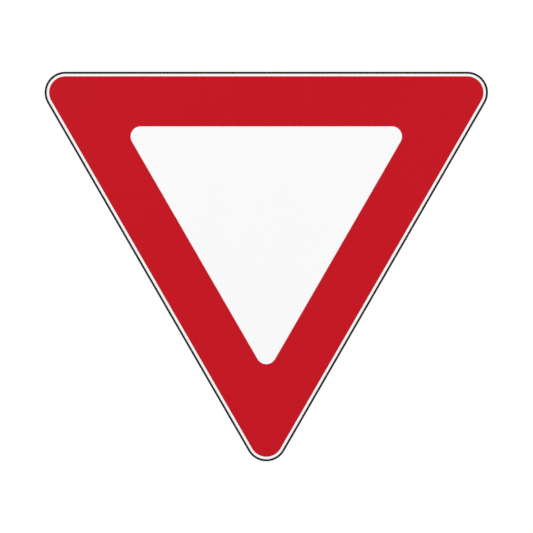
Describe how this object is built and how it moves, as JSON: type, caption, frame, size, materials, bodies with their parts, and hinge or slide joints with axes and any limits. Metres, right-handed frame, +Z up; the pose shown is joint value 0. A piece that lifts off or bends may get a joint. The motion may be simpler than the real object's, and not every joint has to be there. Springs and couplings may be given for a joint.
{
  "type": "give way sign",
  "caption": "Inverted triangular give way road sign: aluminium plate with reflective sheeting, edge strip and rear bolt channels.",
  "frame": {"origin": "middle of the upper channel's rear face, on the sign's centreline, where the upper post clip seats", "axes": "+X to the right and +Z up as a driver sees the sign; the front faces -Y, and +Y points back to the post"},
  "size_m": [0.8562, 0.0179, 0.7524],
  "materials": {
    "plate_aluminium": "mill finish, rolled",
    "white_film": "white retroreflective sheeting",
    "red_film": "red overlay film",
    "black_edging": "black extruded plastic",
    "channel_aluminium": "extruded, mill finish",
    "rivet_aluminium": "satin"
  },
  "bodies": {
    "root": {"sign_plate": "plate_aluminium", "white_sheeting": "white_film", "red_border_film": "red_film", "edge_trim": "black_edging", "upper_channel": "channel_aluminium", "lower_channel": "channel_aluminium", "upper_channel_rivets": "rivet_aluminium", "lower_channel_rivets": "rivet_aluminium"}
  },
  "joints": []
}
